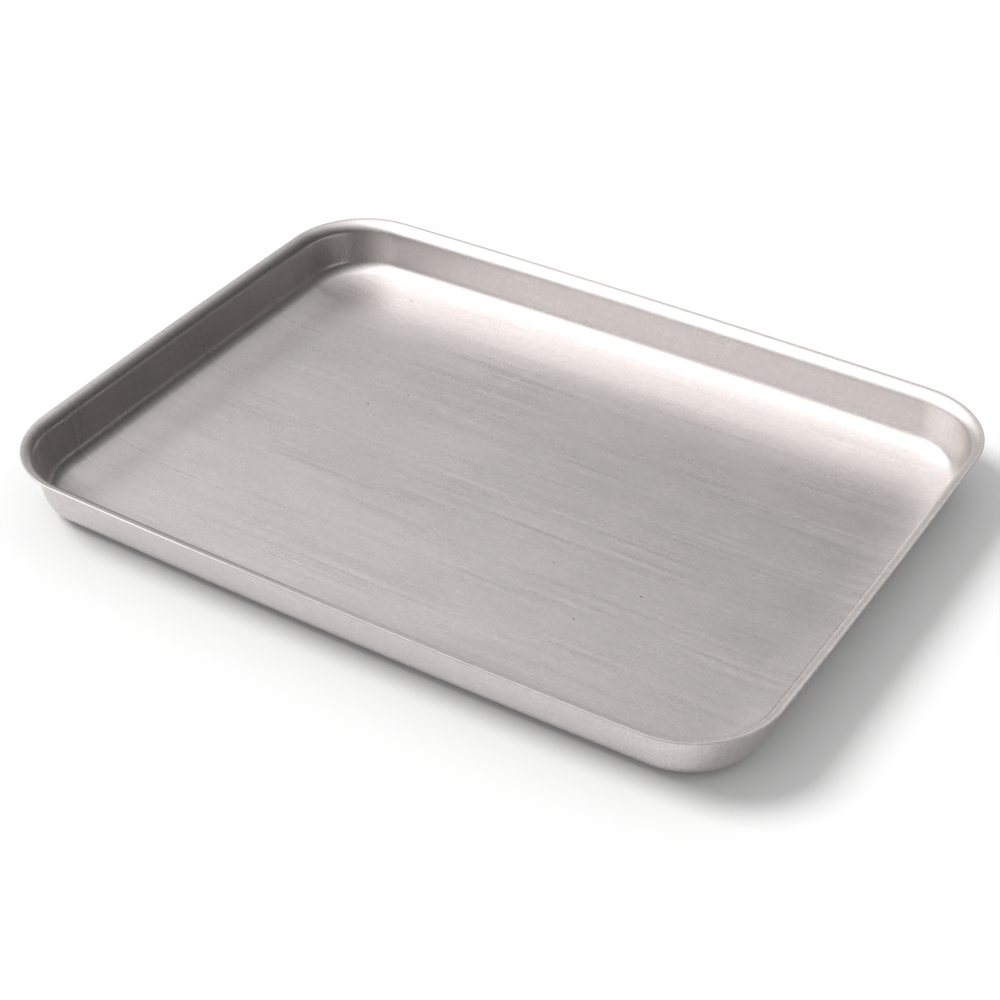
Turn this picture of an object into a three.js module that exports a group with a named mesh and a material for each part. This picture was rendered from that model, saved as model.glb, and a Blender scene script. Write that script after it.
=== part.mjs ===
// Shallow open tray pressed from one sheet of aluminium.
//
// Millimetres. Origin on the underside, in the middle of the base. +X runs along the long
// sides, +Y across the tray and +Z up, so the tray rests on the plane z = 0.
//
// The whole tray is one section carried round one outline. The section starts at the cut edge
// of the rim, turns down through the flare into a leaning wall, turns in through the bottom
// fillet, and eases out over a dished margin into the flat floor. The outline is a rounded
// rectangle whose sides bow out very slightly.

import * as THREE from 'three';

// Outline of the rim's cut edge, seen from above.
const LENGTH = 420;          // overall, between the middles of the short sides
const WIDTH = 310;           // overall, between the middles of the long sides
const RIM_CORNER_R = 46;     // corner radius of the cut edge
const LONG_BOW = 3;          // how far a long side's middle stands out beyond a straight one
const SHORT_BOW = 1.5;       // the same for a short side

// Section of the sheet. Radii belong to the upper, inner face of the metal.
const SHEET = 1;             // sheet thickness
const HEIGHT = 33;           // underside to the top of the cut edge
const FLARE_R = 7;           // level rim turning down into the wall
const DRAFT = 9;             // degrees by which the wall leans out from upright
const FILLET_R = 9;          // wall turning in to the floor's dished margin
const DISH_SLOPE = 19;       // degrees by which the margin falls at the end of the fillet
const DISH_RUN = 26;         // width over which the margin eases out into the flat floor
const EDGE_BREAK = 0.2;      // small bevel along both corners of the cut edge

// Facets.
const CORNER_STEPS = 10;
const SIDE_STEPS = 4;
const FLARE_STEPS = 5;
const FILLET_STEPS = 6;
const DISH_STEPS = 5;

const RAD = Math.PI / 180;

// Arc radius whose middle stands `bow` proud of a chord `span` long.
function bowRadius(span, bow) {
  return (span * span) / (8 * bow) + bow / 2;
}

// First-quadrant corner of the outline: the point at which one circle of radius RIM_CORNER_R
// touches the long side's arc and the short side's arc from inside.
const longR = bowRadius(LENGTH, LONG_BOW);
const shortR = bowRadius(WIDTH, SHORT_BOW);
const longCentre = new THREE.Vector2(0, WIDTH / 2 - longR);
const shortCentre = new THREE.Vector2(LENGTH / 2 - shortR, 0);

function cornerCentre() {
  const toLong = longR - RIM_CORNER_R;
  const toShort = shortR - RIM_CORNER_R;
  const between = shortCentre.clone().sub(longCentre);
  const gap = between.length();
  const along = (toLong * toLong - toShort * toShort + gap * gap) / (2 * gap);
  const aside = Math.sqrt(toLong * toLong - along * along);
  const unit = between.clone().divideScalar(gap);
  const foot = longCentre.clone().addScaledVector(unit, along);
  return foot.add(new THREE.Vector2(unit.y, -unit.x).multiplyScalar(aside));
}

const corner = cornerCentre();
const longTurn = corner.clone().sub(longCentre).angle();
const shortTurn = corner.clone().sub(shortCentre).angle();

// Arc of a given centre, radius and end angles as a list of points, first point left out.
function arc(centre, radius, from, to, steps) {
  const curve = new THREE.ArcCurve(centre.x, centre.y, radius, from, to, to < from);
  return curve.getPoints(steps).slice(1);
}

// Closed outline moved inwards by `inset`, anticlockwise from the middle of the +X side.
function outline(inset) {
  const quarter = [
    new THREE.Vector2(LENGTH / 2 - inset, 0),
    ...arc(shortCentre, shortR - inset, 0, shortTurn, SIDE_STEPS),
    ...arc(corner, RIM_CORNER_R - inset, shortTurn, longTurn, CORNER_STEPS),
    ...arc(longCentre, longR - inset, longTurn, Math.PI / 2, SIDE_STEPS),
  ];
  const flip = (sx, sy) => quarter.map((p) => new THREE.Vector2(p.x * sx, p.y * sy));
  const second = flip(-1, 1).reverse().slice(1);
  const third = flip(-1, -1).slice(1);
  const fourth = flip(1, -1).reverse().slice(1, -1);
  return [...quarter, ...second, ...third, ...fourth];
}

// The section as points of the inner face, from the cut edge to the start of the flat floor.
// `slope` is how steeply the sheet falls there; the outer face lies SHEET away, square to it.
function section() {
  const wall = Math.PI / 2 - DRAFT * RAD;
  const dish = DISH_SLOPE * RAD;
  const flareDrop = FLARE_R * (1 - Math.cos(wall));
  const filletDrop = FILLET_R * (Math.cos(dish) - Math.cos(wall));
  const dishDrop = (Math.tan(dish) * DISH_RUN) / 3;
  const straight = (HEIGHT - SHEET - flareDrop - filletDrop - dishDrop) / Math.sin(wall);

  const points = [];
  for (let i = 0; i <= FLARE_STEPS; i += 1) {
    const slope = (wall * i) / FLARE_STEPS;
    points.push({
      inset: FLARE_R * Math.sin(slope),
      z: HEIGHT - FLARE_R * (1 - Math.cos(slope)),
      slope,
    });
  }
  const top = points[points.length - 1];
  const foot = {
    inset: top.inset + straight * Math.cos(wall),
    z: top.z - straight * Math.sin(wall),
  };
  for (let i = 0; i <= FILLET_STEPS; i += 1) {
    const slope = wall + ((dish - wall) * i) / FILLET_STEPS;
    points.push({
      inset: foot.inset + FILLET_R * (Math.sin(wall) - Math.sin(slope)),
      z: foot.z - FILLET_R * (Math.cos(slope) - Math.cos(wall)),
      slope,
    });
  }
  const margin = points[points.length - 1];
  for (let i = 1; i <= DISH_STEPS; i += 1) {
    const left = 1 - i / DISH_STEPS;
    points.push({
      inset: margin.inset + DISH_RUN * (1 - left),
      z: margin.z - dishDrop * (1 - left ** 3),
      slope: Math.atan(Math.tan(dish) * left ** 2),
    });
  }
  return points;
}

// Point of the sheet `depth` below the inner face.
function below(point, depth) {
  return {
    inset: point.inset - depth * Math.sin(point.slope),
    z: point.z - depth * Math.cos(point.slope),
  };
}

// The section's boundary from the floor's upper face, over the rim, to its underside.
function boundary() {
  const inner = section();
  const outer = inner.map((point) => below(point, SHEET));
  return [
    ...inner.slice(1).reverse(),
    { inset: EDGE_BREAK, z: HEIGHT },
    { inset: 0, z: HEIGHT - EDGE_BREAK },
    { inset: 0, z: HEIGHT - SHEET + EDGE_BREAK },
    { inset: EDGE_BREAK, z: HEIGHT - SHEET },
    ...outer.slice(1),
  ];
}

// Skin through the rings of the boundary, closed at both ends by the flat floor.
function trayGeometry() {
  const rings = boundary().map(({ inset, z }) => (
    outline(inset).map((p) => new THREE.Vector3(p.x, p.y, z))
  ));
  const count = rings[0].length;
  const positions = [];
  rings.forEach((ring) => ring.forEach((p) => positions.push(p.x, p.y, p.z)));

  const indices = [];
  for (let r = 0; r < rings.length - 1; r += 1) {
    for (let i = 0; i < count; i += 1) {
      const next = (i + 1) % count;
      const a = r * count + i;
      const b = r * count + next;
      const c = a + count;
      const d = b + count;
      indices.push(a, c, b, b, c, d);
    }
  }

  const flat = (ring) => ring.map((p) => new THREE.Vector2(p.x, p.y));
  const last = (rings.length - 1) * count;
  const floor = THREE.ShapeUtils.triangulateShape(flat(rings[0]), []);
  floor.forEach(([a, b, c]) => indices.push(a, b, c));
  const base = THREE.ShapeUtils.triangulateShape(flat(rings[rings.length - 1]), []);
  base.forEach(([a, b, c]) => indices.push(last + a, last + c, last + b));

  const geometry = new THREE.BufferGeometry();
  geometry.setAttribute('position', new THREE.Float32BufferAttribute(positions, 3));
  geometry.setIndex(indices);
  geometry.computeVertexNormals();
  return geometry;
}

const aluminium = new THREE.MeshStandardMaterial({
  color: 0xb2aaa8,
  roughness: 0.38,
  metalness: 1,
});

const tray = new THREE.Mesh(trayGeometry(), aluminium);
tray.name = 'tray';

const part = new THREE.Group();
part.add(tray);

export default part;
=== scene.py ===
"""Shallow aluminium tray, pressed from one sheet, on a pale studio floor.

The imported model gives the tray's box. This script carries a fine section of the sheet round
the tray's outline, gives it the bare rolled aluminium finish, and sets the floor, the light
and the camera. What the metal mirrors is a room of its own: the camera and all matt surfaces
see an even pale backdrop instead. Lengths are in metres: +X runs along the tray, +Z is up.
"""

import math

import bpy
from mathutils import Matrix, Vector


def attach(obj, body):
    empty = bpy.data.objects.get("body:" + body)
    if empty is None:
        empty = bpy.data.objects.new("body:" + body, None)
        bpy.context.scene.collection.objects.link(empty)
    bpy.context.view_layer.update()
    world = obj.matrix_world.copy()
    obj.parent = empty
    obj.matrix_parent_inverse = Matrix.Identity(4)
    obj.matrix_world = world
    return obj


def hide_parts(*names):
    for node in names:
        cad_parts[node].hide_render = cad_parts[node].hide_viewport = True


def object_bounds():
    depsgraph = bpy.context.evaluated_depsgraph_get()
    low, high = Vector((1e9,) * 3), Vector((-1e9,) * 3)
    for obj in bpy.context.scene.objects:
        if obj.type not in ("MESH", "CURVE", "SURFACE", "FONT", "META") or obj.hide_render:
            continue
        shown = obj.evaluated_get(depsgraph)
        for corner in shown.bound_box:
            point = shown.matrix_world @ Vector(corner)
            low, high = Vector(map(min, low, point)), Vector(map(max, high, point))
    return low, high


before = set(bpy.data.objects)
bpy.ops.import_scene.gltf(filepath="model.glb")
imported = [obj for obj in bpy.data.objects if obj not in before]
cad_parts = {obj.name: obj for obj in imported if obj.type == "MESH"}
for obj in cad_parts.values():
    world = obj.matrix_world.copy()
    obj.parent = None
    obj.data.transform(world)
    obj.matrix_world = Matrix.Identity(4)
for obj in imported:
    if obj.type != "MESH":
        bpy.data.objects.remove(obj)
cad_low, cad_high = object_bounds()

# ---------------------------------------------------------------- the tray's driving sizes

LENGTH = cad_high[0] - cad_low[0]
WIDTH = cad_high[1] - cad_low[1]
HEIGHT = cad_high[2] - cad_low[2]
BASE_Z = cad_low[2]

RIM_CORNER_R = 0.046      # corner radius of the cut edge, seen from above
LONG_BOW = 0.003          # how far a long side's middle stands out beyond a straight one
SHORT_BOW = 0.0015

SHEET = 0.001             # sheet thickness
FLARE_R = 0.007           # level rim turning down into the wall, upper face
DRAFT = math.radians(9)   # how far the wall leans out from upright
FILLET_R = 0.009          # wall turning in to the floor's margin, upper face
DISH_SLOPE = math.radians(19)   # the margin's slope at the fillet, which eases out
DISH_RUN = 0.026          # over this width into the flat floor
EDGE_BREAK = 0.00022      # rounding of the cut edge's two corners

CORNER_STEPS = 40         # facets along a corner, half a long side and half a short side
LONG_STEPS = 44
SHORT_STEPS = 34
FLARE_STEPS = 14
WALL_STEPS = 8
FILLET_STEPS = 14
DISH_STEPS = 14
EDGE_STEPS = 4
FLOOR_RINGS = 36


# ---------------------------------------------------------------- outline seen from above

def bow_radius(span, bow):
    """Radius of an arc whose middle stands bow proud of a chord span long."""
    return span * span / (8 * bow) + bow / 2


LONG_R = bow_radius(LENGTH, LONG_BOW)
SHORT_R = bow_radius(WIDTH, SHORT_BOW)
LONG_CENTRE = Vector((0, WIDTH / 2 - LONG_R))
SHORT_CENTRE = Vector((LENGTH / 2 - SHORT_R, 0))


def corner_centre():
    """Centre of the corner circle that touches both side arcs from inside."""
    to_long = LONG_R - RIM_CORNER_R
    to_short = SHORT_R - RIM_CORNER_R
    between = SHORT_CENTRE - LONG_CENTRE
    gap = between.length
    along = (to_long ** 2 - to_short ** 2 + gap ** 2) / (2 * gap)
    aside = math.sqrt(to_long ** 2 - along ** 2)
    unit = between / gap
    return LONG_CENTRE + unit * along + Vector((unit.y, -unit.x)) * aside


CORNER = corner_centre()
SHORT_TURN = math.atan2(CORNER.y - SHORT_CENTRE.y, CORNER.x - SHORT_CENTRE.x)
LONG_TURN = math.atan2(CORNER.y - LONG_CENTRE.y, CORNER.x - LONG_CENTRE.x)


def arc(centre, radius, start, end, steps):
    """Centre, radius and angle of each point along an arc, without the last point."""
    return [(centre, radius, start + (end - start) * i / steps) for i in range(steps)]


def quarter_outline():
    """First quadrant of the outline, anticlockwise, without its last point."""
    half_pi = math.pi / 2
    return (arc(SHORT_CENTRE, SHORT_R, 0, SHORT_TURN, SHORT_STEPS)
            + arc(CORNER, RIM_CORNER_R, SHORT_TURN, LONG_TURN, CORNER_STEPS)
            + arc(LONG_CENTRE, LONG_R, LONG_TURN, half_pi, LONG_STEPS)
            + [(LONG_CENTRE, LONG_R, half_pi)])


def outline():
    """Points of the cut edge's outline, anticlockwise, each with its outward direction."""
    quarter = []
    for centre, radius, angle in quarter_outline():
        outward = Vector((math.cos(angle), math.sin(angle)))
        quarter.append((centre + outward * radius, outward))

    def flipped(sx, sy):
        scale = Vector((sx, sy))
        return [(point * scale, outward * scale) for point, outward in quarter]

    second = flipped(-1, 1)[::-1][1:]
    third = flipped(-1, -1)[1:]
    fourth = flipped(1, -1)[::-1][1:-1]
    return quarter + second + third + fourth


# ---------------------------------------------------------------- section through the sheet

def inner_section():
    """Inset, height and slope of the upper face, from the cut edge to the flat floor."""
    wall = math.pi / 2 - DRAFT
    dish_rise = math.tan(DISH_SLOPE) * DISH_RUN / 3      # the easing slope, added up
    flare_drop = FLARE_R * (1 - math.cos(wall))
    fillet_drop = FILLET_R * (math.cos(DISH_SLOPE) - math.cos(wall))
    straight_drop = HEIGHT - SHEET - flare_drop - fillet_drop - dish_rise
    top = BASE_Z + HEIGHT

    points = []
    for i in range(FLARE_STEPS + 1):
        slope = wall * i / FLARE_STEPS
        points.append((FLARE_R * math.sin(slope), top - FLARE_R * (1 - math.cos(slope)), slope))
    inset, height, _ = points[-1]
    for i in range(1, WALL_STEPS + 1):
        drop = straight_drop * i / WALL_STEPS
        points.append((inset + drop / math.tan(wall), height - drop, wall))
    inset, height, _ = points[-1]
    for i in range(1, FILLET_STEPS + 1):
        slope = wall + (DISH_SLOPE - wall) * i / FILLET_STEPS
        points.append((inset + FILLET_R * (math.sin(wall) - math.sin(slope)),
                       height - FILLET_R * (math.cos(slope) - math.cos(wall)), slope))
    inset, height, _ = points[-1]
    for i in range(1, DISH_STEPS + 1):
        left = 1 - i / DISH_STEPS
        slope = math.atan(math.tan(DISH_SLOPE) * left ** 2)
        points.append((inset + DISH_RUN * (1 - left), height - dish_rise * (1 - left ** 3), slope))
    return points


def edge_section():
    """Inset and height round the two broken corners of the cut edge, top to bottom."""
    top = BASE_Z + HEIGHT
    points = []
    for turn, centre_z in ((0, top - EDGE_BREAK), (math.pi / 2, top - SHEET + EDGE_BREAK)):
        for i in range(EDGE_STEPS + 1):
            angle = math.pi / 2 - turn - math.pi / 2 * i / EDGE_STEPS
            points.append((EDGE_BREAK * (1 - math.cos(angle)),
                           centre_z + EDGE_BREAK * math.sin(angle)))
    return points


def sheet_boundary():
    """Closed side of the sheet as (inset, height, travel) from the floor's upper face, over
    the rim, to its underside. travel is the distance along the sheet out from the floor."""
    inner = inner_section()
    travel = [0.0]
    for (a, b, _), (c, d, _) in zip(inner[::-1], inner[::-1][1:]):
        travel.append(travel[-1] + math.hypot(c - a, d - b))
    upper = [(inset, z, t) for (inset, z, _), t in zip(inner[::-1], travel)]
    lower = [(inset - SHEET * math.sin(slope), z - SHEET * math.cos(slope), t)
             for (inset, z, slope), t in zip(inner[::-1], travel)]
    rim = [(inset, z, travel[-1]) for inset, z in edge_section()]
    return upper[:-1] + rim + lower[:-1][::-1]


BLANK_TRAVEL = max(travel for _, _, travel in sheet_boundary())


# ---------------------------------------------------------------- the fine tray

CORNER_REACH = 3          # a larger value brings a corner's marks further along the sides


def cornerness(outward):
    """1 round a corner of the outline, easing to 0 along the sides."""
    near = min(1.0, CORNER_REACH * abs(outward.x * outward.y))
    return near * near * (3 - 2 * near)


def distance_round(points):
    """Distance from the first point to each point, round the outline."""
    total = [0.0]
    for (p, _), (q, _) in zip(points, points[1:]):
        total.append(total[-1] + (q - p).length)
    return total


def floor_rings(borders, z):
    """Rings of the flat floor, shrinking from its border to the middle."""
    rings = []
    for step in range(1, FLOOR_RINGS):
        spots = [border * (1 - step / FLOOR_RINGS) for border in borders]
        rings.append((spots, z, spots, 0.0))
    return rings


def boundary_rings(points, borders, boundary):
    """Rings of the rest of the sheet, from the floor's border over the rim to the underside."""
    rings = []
    for inset, z, travel in boundary:
        spots = [p - n * inset for p, n in points]
        flat = [border + n * travel for border, (_, n) in zip(borders, points)]
        rings.append((spots, z, flat, travel))
    return rings


def sheet_rings(points):
    """All rings, from the middle of the floor to the middle of the underside. Each holds its
    points seen from above, their height, where they were in the flat sheet, and the travel."""
    boundary = sheet_boundary()
    floor_inset, floor_z, _ = boundary[0]
    borders = [p - n * floor_inset for p, n in points]
    return (floor_rings(borders, floor_z)[::-1]
            + boundary_rings(points, borders, boundary)
            + floor_rings(borders, BASE_Z))


def sheet_faces(ring_count, count):
    """Faces between neighbouring rings of count points, and the two that close the middles."""
    faces = []
    for r in range(ring_count - 1):
        for i in range(count):
            j = (i + 1) % count
            a, b = r * count + i, r * count + j
            faces.append((a, a + count, b + count, b))
    faces.append(tuple(range(count)))
    faces.append(tuple(range((ring_count - 1) * count, ring_count * count))[::-1])
    return faces


def lay_out_blank(mesh, rings):
    """UV map of the flat sheet, one LENGTH to the unit, with its middle at (0.5, 0.5)."""
    blank = [spot for _, _, flat, _ in rings for spot in flat]
    layer = mesh.uv_layers.new(name="blank")
    for loop in mesh.loops:
        u, v = blank[loop.vertex_index]
        layer.data[loop.index].uv = (u / LENGTH + 0.5, v / LENGTH + 0.5)


def mark_wall_places(mesh, rings, points):
    """Distance round the outline, travel and cornerness of each vertex."""
    around = distance_round(points)
    corners = [cornerness(n) for _, n in points]
    places = [(distance, travel, corner)
              for _, _, _, travel in rings for distance, corner in zip(around, corners)]
    layer = mesh.attributes.new("wall_place", "FLOAT_VECTOR", "POINT")
    for vertex, place in zip(layer.data, places):
        vertex.vector = place


def build_tray():
    """The whole sheet as one closed mesh."""
    points = outline()
    rings = sheet_rings(points)
    verts = [(spot.x, spot.y, z) for spots, z, _, _ in rings for spot in spots]
    mesh = bpy.data.meshes.new("tray_sheet")
    mesh.from_pydata(verts, [], sheet_faces(len(rings), len(points)))
    lay_out_blank(mesh, rings)
    mark_wall_places(mesh, rings, points)
    mesh.validate()
    mesh.update()
    for polygon in mesh.polygons:
        polygon.use_smooth = True
    piece = bpy.data.objects.new("tray_sheet", mesh)
    bpy.context.collection.objects.link(piece)
    return piece


# ---------------------------------------------------------------- material

METAL_TINT = (0.602, 0.570, 0.560)   # bare aluminium, a little dull and warm with use
METAL_ROUGHNESS = 0.3
GRAIN_STRETCH = 0.45                 # how far the grain draws highlights out across itself
QUARTER_TURN = 0.25                  # the shader counts the grain's direction in whole turns
CUT_EDGE_START = 0.0016              # the cut edge's roughness and painted shade set in between these two distances from the end of the sheet
CUT_EDGE_FULL = 0.0006               # distances from the end of the sheet
RUBBED_TO = -0.24 * LENGTH           # going along +X, the edge is rubbed smooth and carries a painted highlight up to here and neither from here on
UNRUBBED_FROM = -0.10 * LENGTH       # and no longer rubbed from here on

# Dark pits in the floor and its margin, where the photograph has them: place on the blank
# and radius.
PITS = ((-0.0890, 0.0448, 0.0009), (-0.1030, 0.0268, 0.0009), (0.1030, -0.0392, 0.0008),
        (0.0838, -0.0704, 0.0007), (-0.1422, 0.1260, 0.0006), (0.0536, -0.0388, 0.0005))
PIT_CORE = 0.4                       # share of the radius that is fully dark

# Marks on the sheet. Their sizes are in metres, along and across the rolling direction.
FINE_GRAIN = dict(along=0.06, across=0.0013, detail=0.0)
MIDDLING_GRAIN = dict(along=0.12, across=0.0028, detail=0.0, shift=3)
BROAD_GRAIN = dict(along=0.16, across=0.007, detail=1.0, shift=7)
GRAIN_BANDS = dict(along=0.13, across=0.022, shift=11)
STREAKS = dict(along=0.10, across=0.005, shift=23)
STREAKED_PATCHES = dict(along=0.09, across=0.05, shift=31)
SCRATCHES = dict(along=0.022, across=0.0006, detail=0.0)
SCRATCH_WAYS = ((22, 5), (-58, 17), (97, 29), (-12, 43))   # turn in degrees, and shift
FURROWS = dict(along=0.14, across=0.004, detail=0.0, shift=67)
SPECKLE = dict(along=0.0017, across=0.0015, detail=1.0, turn=37, shift=71)
MOTTLE = dict(along=0.006, across=0.004, turn=12, shift=77)
CLOUDS = dict(along=0.07, across=0.04, shift=81)
WAVES = dict(along=0.045, across=0.03, detail=0.0, shift=91)
DIE_MARKS = dict(along=0.0018, across=0.03, detail=1.0, shift=51)   # round and up the walls

# Noise levels between which a mask rises.
BAND_CUT = (0.35, 0.65)
STREAK_CUT = (0.52, 0.72)
PATCH_CUT = (0.45, 0.62)
SCRATCH_CUT = (0.80, 0.86)

BAND_WEIGHTS = (0.3, 1.2)            # strength of the grain between its bands and in them
GRAIN_ON_WALLS = 0.2                 # share of the grain that drawing has left
SIDES_WORKED = 0.4                   # how far the die works the sides, where a corner is 1
WALL_ONSET = 0.008                   # the wall's finish sets in over this travel


def add_node(tree, kind, inputs, **settings):
    """New shader node. An input that is a socket is linked, a plain value is set."""
    node = tree.nodes.new(kind)
    for name, value in settings.items():
        setattr(node, name, value)
    for name, value in inputs.items():
        if isinstance(value, bpy.types.NodeSocket):
            tree.links.new(value, node.inputs[name])
        else:
            node.inputs[name].default_value = value
    return node


def arithmetic(tree, operation, *values):
    """Output of a Math node."""
    inputs = dict(enumerate(values))
    return add_node(tree, "ShaderNodeMath", inputs, operation=operation).outputs[0]


def remap(tree, value, low, high, to_low=0.0, to_high=1.0):
    """Value carried from low..high to to_low..to_high, and held at the ends."""
    inputs = {"Value": value, "From Min": low, "From Max": high,
              "To Min": to_low, "To Max": to_high}
    return add_node(tree, "ShaderNodeMapRange", inputs).outputs["Result"]


def noise_on(tree, place, along, across, detail=2.0, turn=0.0, shift=0.0):
    """Noise around 0.5 with features about along by across metres, turned by degrees."""
    if turn:
        inputs = {"Vector": place, "Angle": math.radians(turn)}
        place = add_node(tree, "ShaderNodeVectorRotate", inputs, rotation_type="Z_AXIS").outputs[0]
    inputs = {0: place, 1: (1 / along, 1 / across, 0), 2: (shift, shift, 0)}
    stretched = add_node(tree, "ShaderNodeVectorMath", inputs, operation="MULTIPLY_ADD").outputs[0]
    inputs = {"Vector": stretched, "Scale": 1.0, "Detail": detail}
    return add_node(tree, "ShaderNodeTexNoise", inputs, noise_dimensions="2D").outputs[0]


def weigh(tree, mean, terms):
    """Mean plus weight times each noise's swing about 0.5."""
    total = mean
    for value, weight in terms:
        swing = arithmetic(tree, "SUBTRACT", value, 0.5)
        total = arithmetic(tree, "MULTIPLY_ADD", swing, weight, total)
    return total


def stack(tree, total, terms):
    """Total plus weight times each mask."""
    for mask, weight in terms:
        total = arithmetic(tree, "MULTIPLY_ADD", mask, weight, total)
    return total


def mill_grain(tree, sheet, drawn):
    """Rolling lines along the sheet, in three widths and gathered in bands. Drawing the
    walls has wiped most of them out."""
    fine = noise_on(tree, sheet, **FINE_GRAIN)
    middling = noise_on(tree, sheet, **MIDDLING_GRAIN)
    broad = noise_on(tree, sheet, **BROAD_GRAIN)
    bands = remap(tree, noise_on(tree, sheet, **GRAIN_BANDS), *BAND_CUT, *BAND_WEIGHTS)
    swing = weigh(tree, 0.0, ((fine, 1.0), (middling, 0.9), (broad, 0.6)))
    kept = remap(tree, drawn, 0.0, 1.0, 1.0, GRAIN_ON_WALLS)
    weight = arithmetic(tree, "MULTIPLY", bands, kept)
    return arithmetic(tree, "MULTIPLY_ADD", swing, weight, 0.5)


def worn_streaks(tree, sheet):
    """Masks the long, paler rubbed streaks."""
    streaks = remap(tree, noise_on(tree, sheet, **STREAKS), *STREAK_CUT)
    patches = remap(tree, noise_on(tree, sheet, **STREAKED_PATCHES), *PATCH_CUT)
    return arithmetic(tree, "MULTIPLY", streaks, patches)


def scratches(tree, sheet):
    """Masks thin straight scratches, which run in a few directions."""
    total = 0.0
    for turn, shift in SCRATCH_WAYS:
        lines = noise_on(tree, sheet, **SCRATCHES, turn=turn, shift=shift)
        total = arithmetic(tree, "MAXIMUM", remap(tree, lines, *SCRATCH_CUT), total)
    return total


def pits(tree, sheet):
    """Masks the dark pits."""
    total = 0.0
    for x, y, radius in PITS:
        inputs = {0: sheet, 1: (x, y, 0)}
        away = add_node(tree, "ShaderNodeVectorMath", inputs, operation="DISTANCE").outputs["Value"]
        pit = remap(tree, away, radius * PIT_CORE, radius, 1.0, 0.0)
        total = arithmetic(tree, "MAXIMUM", pit, total)
    return total


def drawn_walls(tree, travel, corner):
    """Masks the walls, and how far the die has worked them: most round the corners."""
    walls = remap(tree, travel, DISH_RUN, DISH_RUN + WALL_ONSET)
    share = remap(tree, corner, 0, 1, SIDES_WORKED, 1.0)
    worked = arithmetic(tree, "MULTIPLY", share, walls)
    return walls, worked


def drawing_marks(tree, around, travel, drawn):
    """Streaks up the walls where the die dragged the sheet."""
    place = add_node(tree, "ShaderNodeCombineXYZ", {"X": around, "Y": travel}).outputs[0]
    streaks = noise_on(tree, place, **DIE_MARKS)
    swing = arithmetic(tree, "SUBTRACT", streaks, 0.5)
    return arithmetic(tree, "MULTIPLY_ADD", swing, drawn, 0.5)


def cut_edge(tree, sheet, travel):
    """Masks the cut edge, which is rough and whose colour is darkened as painted shade that dims
    its highlight, and the part of it near one end, which handling has rubbed smooth and whose
    colour is lifted back as a painted highlight.
    """
    edge = remap(tree, travel, BLANK_TRAVEL - CUT_EDGE_START, BLANK_TRAVEL - CUT_EDGE_FULL)
    along = add_node(tree, "ShaderNodeSeparateXYZ", {0: sheet}).outputs["X"]
    # rubbed carries both the smoother rubbed finish and the painted highlight's share along the
    # edge
    rubbed = remap(tree, along, RUBBED_TO, UNRUBBED_FROM, 1.0, 0.0)
    return edge, arithmetic(tree, "MULTIPLY", edge, rubbed)


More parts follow.
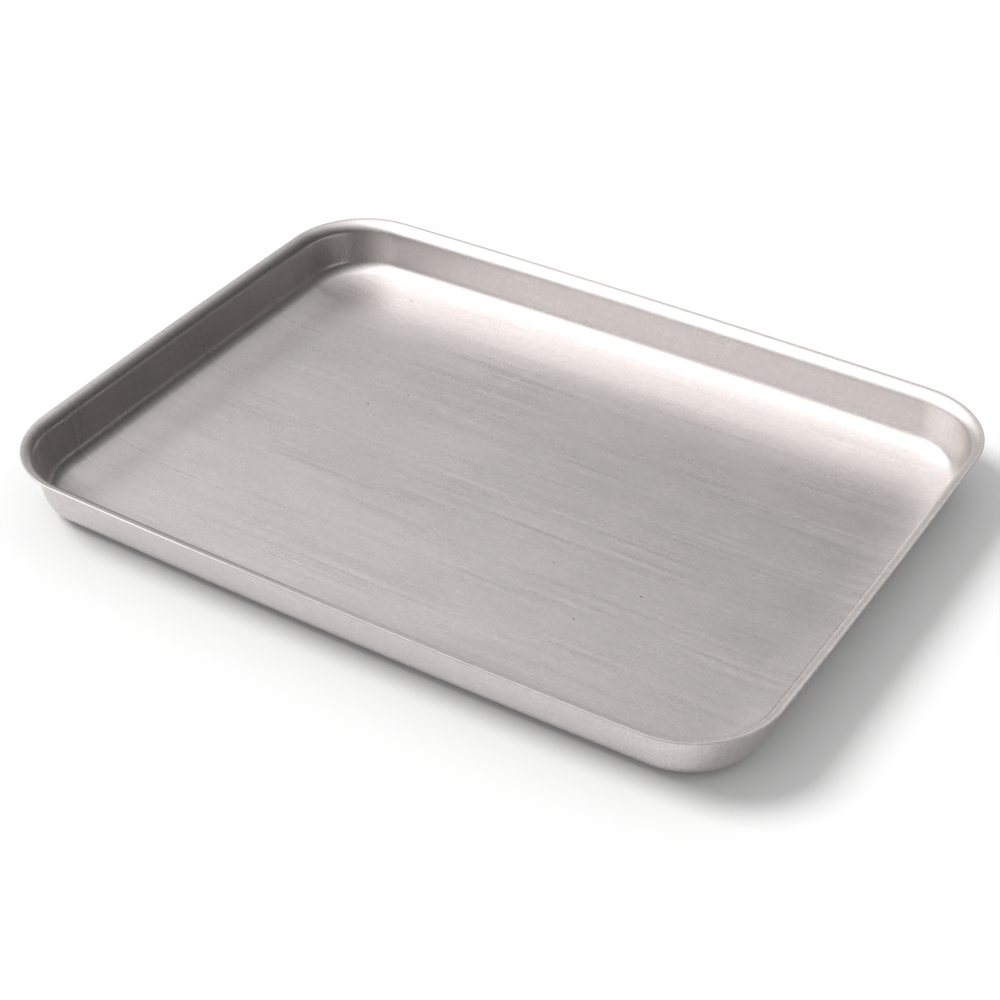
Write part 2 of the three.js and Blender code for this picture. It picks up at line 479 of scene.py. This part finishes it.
def rolled_aluminium():
    """Bare rolled aluminium. The mill's grain runs along the blank, the die has marked the
    walls, and use has left dull clouds, rubbed streaks, scratches and pits. The cut edge's
    colour carries painted shade, lifted back as a painted highlight near one end."""
    material = bpy.data.materials.new("rolled_aluminium")
    material.use_nodes = True
    tree = material.node_tree
    blank = add_node(tree, "ShaderNodeUVMap", {}, uv_map="blank").outputs[0]
    inputs = {0: blank, 1: (LENGTH, LENGTH, 0), 2: (-LENGTH / 2, -LENGTH / 2, 0)}
    sheet = add_node(tree, "ShaderNodeVectorMath", inputs, operation="MULTIPLY_ADD").outputs[0]
    wall = add_node(tree, "ShaderNodeAttribute", {}, attribute_name="wall_place").outputs["Vector"]
    around, travel, corner = add_node(tree, "ShaderNodeSeparateXYZ", {0: wall}).outputs

    walls, drawn = drawn_walls(tree, travel, corner)
    grain = mill_grain(tree, sheet, drawn)
    furrows = noise_on(tree, sheet, **FURROWS)
    speckle = noise_on(tree, sheet, **SPECKLE)
    mottle = noise_on(tree, sheet, **MOTTLE)
    clouds = noise_on(tree, sheet, **CLOUDS)
    waves = noise_on(tree, sheet, **WAVES)
    marks = drawing_marks(tree, around, travel, drawn)
    streaks = worn_streaks(tree, sheet)
    scored = scratches(tree, sheet)
    pitted = pits(tree, sheet)
    edge, rubbed_edge_painted_highlight = cut_edge(tree, sheet, travel)

    shade = weigh(tree, 1.0, ((grain, 0.06), (speckle, 0.15), (mottle, 0.10),
                              (clouds, 0.05), (marks, 0.08)))
    # In the colour, the cut edge's -0.22 is painted shade that dims its highlight, and the rubbed
    # end's +0.25 lifts it back as a painted highlight.
    shade = stack(tree, shade, ((walls, 0.07), (streaks, 0.05), (scored, 0.10), (pitted, -0.75),
                                (edge, -0.22), (rubbed_edge_painted_highlight, 0.25)))
    inputs = {0: METAL_TINT, "Scale": shade}
    tint = add_node(tree, "ShaderNodeVectorMath", inputs, operation="SCALE")

    rough = weigh(tree, METAL_ROUGHNESS, ((grain, 0.05), (speckle, 0.03),
                                          (clouds, 0.06), (marks, 0.08)))
    rough = stack(tree, rough, ((streaks, -0.03), (pitted, 0.3), (edge, 0.3), (rubbed_edge_painted_highlight, -0.38)))

    # Heights are in metres.
    height = weigh(tree, 0.0, ((furrows, 1.5e-5), (waves, 1.2e-4), (marks, 5e-6)))
    height = stack(tree, height, ((scored, -1e-5), (pitted, -1.5e-4)))
    bump = add_node(tree, "ShaderNodeBump", {"Height": height, "Strength": 1.0, "Distance": 1.0})
    grain_way = add_node(tree, "ShaderNodeTangent", {}, direction_type="UV_MAP", uv_map="blank")

    metal = tree.nodes["Principled BSDF"]
    metal.inputs["Metallic"].default_value = 1.0
    metal.inputs["Anisotropic"].default_value = GRAIN_STRETCH
    metal.inputs["Anisotropic Rotation"].default_value = QUARTER_TURN
    tree.links.new(tint.outputs[0], metal.inputs["Base Color"])
    tree.links.new(rough, metal.inputs["Roughness"])
    tree.links.new(bump.outputs[0], metal.inputs["Normal"])
    tree.links.new(grain_way.outputs[0], metal.inputs["Tangent"])
    return material


# ---------------------------------------------------------------- floor, light and camera

FLOOR_HALF = 30 * LENGTH
FLOOR_GREY = 0.5
FLOOR_ROUGHNESS = 0.9
FLOOR_GLOSS = 0.1


def build_floor():
    """Wide, matt, pale ground, which ends far behind the tray."""
    half = FLOOR_HALF
    mesh = bpy.data.meshes.new("studio_floor")
    signs = ((-1, -1), (1, -1), (1, 1), (-1, 1))
    corners = [(half * sx, half * sy, BASE_Z) for sx, sy in signs]
    mesh.from_pydata(corners, [], [(0, 1, 2, 3)])
    floor = bpy.data.objects.new("studio_floor", mesh)
    bpy.context.collection.objects.link(floor)
    material = bpy.data.materials.new("pale_floor")
    material.use_nodes = True
    paint = material.node_tree.nodes["Principled BSDF"]
    paint.inputs["Base Color"].default_value = (FLOOR_GREY, FLOOR_GREY, FLOOR_GREY, 1)
    paint.inputs["Roughness"].default_value = FLOOR_ROUGHNESS
    paint.inputs["Specular IOR Level"].default_value = FLOOR_GLOSS
    mesh.materials.append(material)


def direction(azimuth, elevation):
    """Unit vector. Azimuth turns from +X towards +Y, elevation rises from the floor."""
    flat = math.cos(math.radians(elevation))
    return Vector((flat * math.cos(math.radians(azimuth)),
                   flat * math.sin(math.radians(azimuth)),
                   math.sin(math.radians(elevation))))


KEY_DIRECTION = (-165, 50)     # azimuth and elevation, as for the room below
KEY_STRENGTH = 3.9
KEY_SPREAD = math.radians(27)


def build_key():
    """Distant light as wide as a large softbox. It lights the floor, and the metal doesn't
    mirror it."""
    lamp = bpy.data.lights.new("floor_key", "SUN")
    lamp.energy = KEY_STRENGTH
    lamp.angle = KEY_SPREAD
    holder = bpy.data.objects.new("floor_key", lamp)
    holder.rotation_euler = direction(*KEY_DIRECTION).to_track_quat("Z", "Y").to_euler()
    bpy.context.collection.objects.link(holder)
    holder.visible_glossy = False


# The room that reflections show: one broad soft light, and a paler stretch of wall behind.
# Its levels are set so that the tray takes about the photograph's tones.
ROOM_LIGHT = (-148, 51)
ROOM_PEAK = 3.1
ROOM_SPREAD = math.radians(47)
ROOM_DIM = 0.06                # what is left of the room away from its light
FAR_SIDE = (125, 3)
FAR_LEVEL = 0.62
FAR_START = 0.80               # cosines of the angle from FAR_SIDE between which
FAR_FULL = 0.96                # the stretch of wall comes up to its level

BACKDROP_LEVEL = 1.15          # even brightness that the camera and matt surfaces see
WHITE = (1, 1, 1, 1)


def facing(tree, where, towards):
    """Cosine of the angle between where and a fixed direction."""
    inputs = {0: where, 1: direction(*towards)}
    return add_node(tree, "ShaderNodeVectorMath", inputs, operation="DOT_PRODUCT").outputs["Value"]


def mirrored_room(tree):
    """Brightness of the room in each direction."""
    where = add_node(tree, "ShaderNodeTexCoord", {}).outputs["Generated"]
    away = arithmetic(tree, "ARCCOSINE", facing(tree, where, ROOM_LIGHT))
    spread = arithmetic(tree, "DIVIDE", away, ROOM_SPREAD)
    falloff = arithmetic(tree, "MULTIPLY", arithmetic(tree, "MULTIPLY", spread, spread), -1.0)
    light = arithmetic(tree, "EXPONENT", falloff)
    main = arithmetic(tree, "MULTIPLY_ADD", light, ROOM_PEAK, ROOM_DIM)
    behind = remap(tree, facing(tree, where, FAR_SIDE), FAR_START, FAR_FULL, 0.0, FAR_LEVEL)
    return arithmetic(tree, "MAXIMUM", main, behind)


def build_world():
    """Evenly pale to the camera and to matt surfaces, while reflections show the room."""
    world = bpy.data.worlds.new("studio_room")
    bpy.context.scene.world = world
    world.use_nodes = True
    tree = world.node_tree
    tree.nodes.clear()
    inputs = {"Color": WHITE, "Strength": mirrored_room(tree)}
    room = add_node(tree, "ShaderNodeBackground", inputs)
    inputs = {"Color": WHITE, "Strength": BACKDROP_LEVEL}
    even = add_node(tree, "ShaderNodeBackground", inputs)
    rays = add_node(tree, "ShaderNodeLightPath", {}).outputs["Is Glossy Ray"]
    mix = add_node(tree, "ShaderNodeMixShader", {0: rays, 1: even.outputs[0], 2: room.outputs[0]})
    add_node(tree, "ShaderNodeOutputWorld", {"Surface": mix.outputs[0]})


CAMERA_AZIMUTH = 32.593        # degrees, anticlockwise from looking along +Y
CAMERA_ELEVATION = 36.72
CAMERA_ROLL = -0.476
CAMERA_DISTANCE = 2.551 * LENGTH
CAMERA_SENSOR = 36             # millimetres
CAMERA_LENS = 76.02
CAMERA_AIM = Vector((0.0035, -0.0086, 0))
CAMERA_REACH = 60              # metres it sees, past the floor's end


def build_camera():
    """Camera at the photograph's viewing angle."""
    data = bpy.data.cameras.new("camera")
    data.sensor_width = CAMERA_SENSOR
    data.lens = CAMERA_LENS
    camera = bpy.data.objects.new("camera", data)
    bpy.context.collection.objects.link(camera)
    forward = -direction(CAMERA_AZIMUTH - 90, CAMERA_ELEVATION)
    level_right = forward.cross(Vector((0, 0, 1))).normalized()
    level_up = level_right.cross(forward)
    roll = math.radians(CAMERA_ROLL)
    right = level_right * math.cos(roll) + level_up * math.sin(roll)
    up = right.cross(forward)
    place = CAMERA_AIM - forward * CAMERA_DISTANCE
    camera.matrix_world = Matrix((
        (right.x, up.x, -forward.x, place.x),
        (right.y, up.y, -forward.y, place.y),
        (right.z, up.z, -forward.z, place.z),
        (0, 0, 0, 1)))
    data.clip_end = CAMERA_REACH
    bpy.context.scene.camera = camera


# ---------------------------------------------------------------- putting it together

build_camera()
tray = build_tray()
tray.data.materials.append(rolled_aluminium())
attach(tray, "root")
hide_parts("tray")

build_floor()
build_world()
build_key()
bpy.context.scene.view_settings.view_transform = "Standard"
